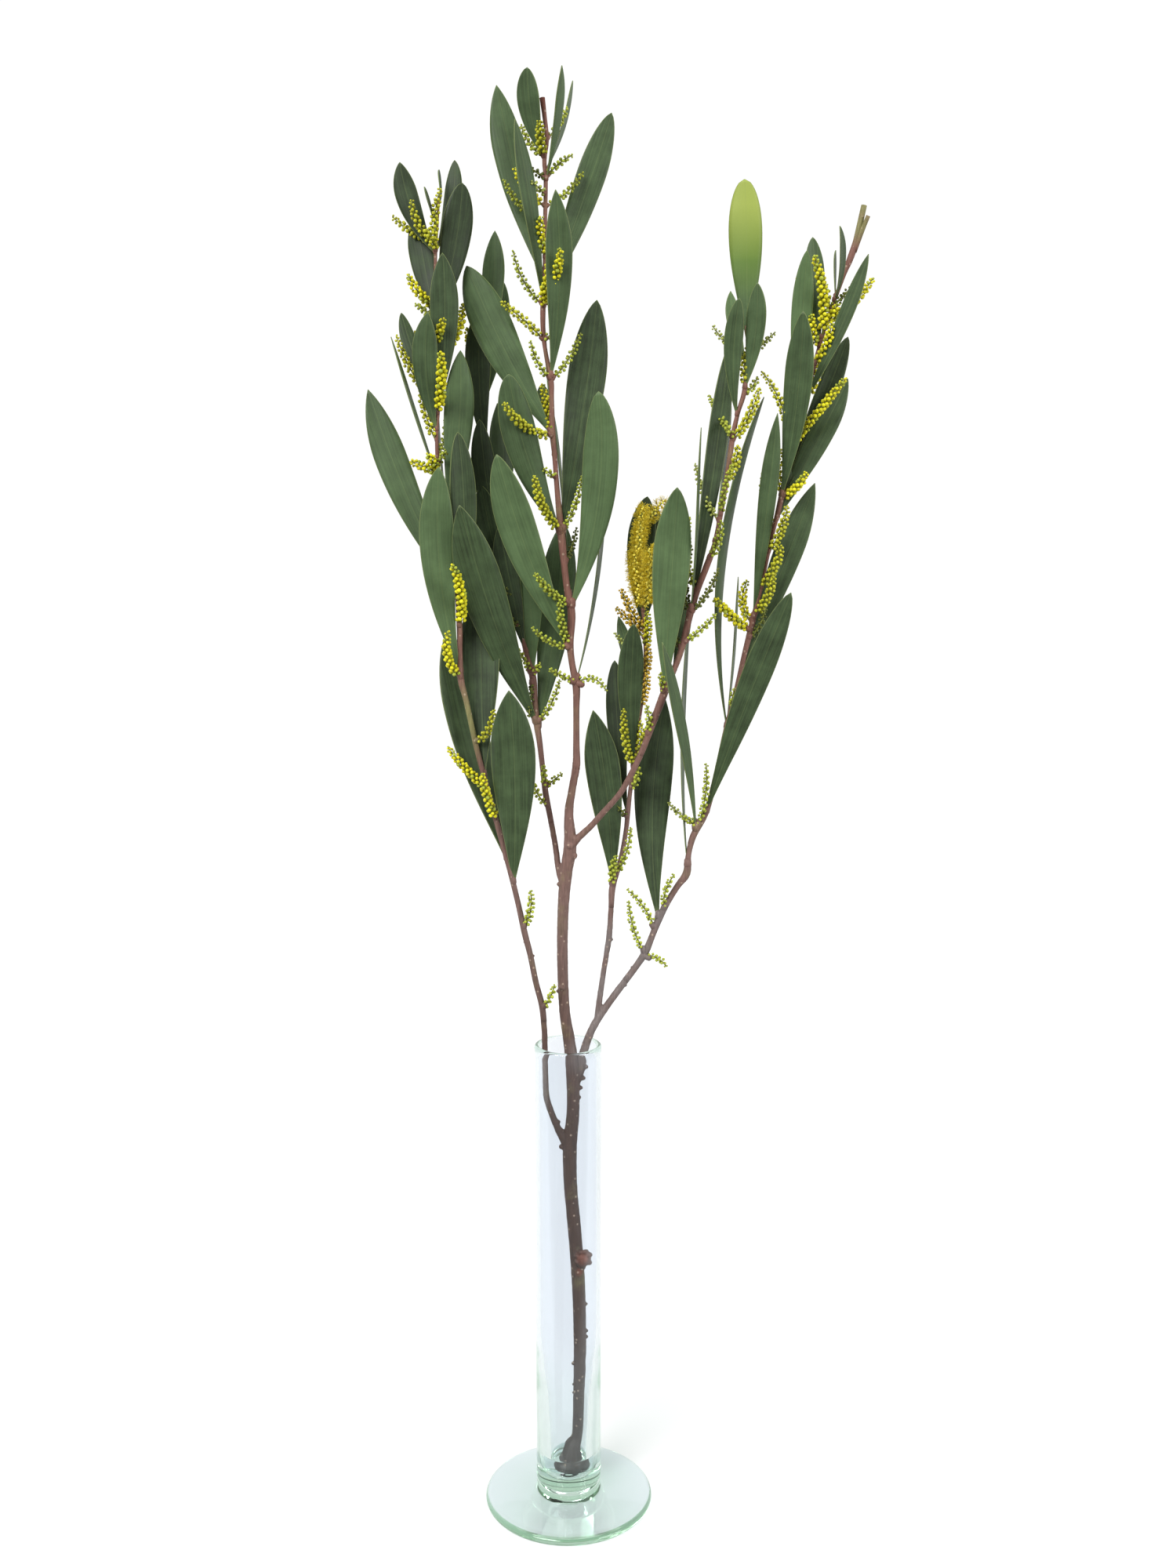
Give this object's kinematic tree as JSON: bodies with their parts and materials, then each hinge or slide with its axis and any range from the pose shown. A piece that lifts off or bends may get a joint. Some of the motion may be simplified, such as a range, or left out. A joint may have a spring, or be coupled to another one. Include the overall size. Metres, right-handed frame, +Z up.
{
  "type": "mimosa in vase",
  "caption": "Budding wattle branch with long narrow leaves and spikes of round yellow buds, standing in a tall clear glass tube vase on a round flat foot.",
  "frame": {"origin": "middle of the vase foot's flat underside, on the surface that it stands on", "axes": "+Z up along the vase's axis, -Y towards the front, +X to the right as seen from the front"},
  "size_m": [0.291, 0.1055, 0.8483],
  "materials": {
    "glass": "clear hand-drawn glass, smooth, with a faint green edge",
    "water": "clear still water",
    "bark": "thin matte bark, red-brown on the twigs and grey-brown at the foot",
    "foliage": "leathery grey-green leaves with fine lengthwise veins and thin yellow-green edges",
    "blossom": "matte green-yellow to golden round buds, some open to soft pale yellow threads"
  },
  "bodies": {
    "root": {"vase": "glass", "water": "water", "branch": "bark", "centre_shoot": "foliage", "left_low_shoot": "foliage", "left_back_shoot": "foliage", "middle_shoot": "foliage", "right_shoot": "foliage", "short_shoot": "foliage"}
  },
  "joints": []
}
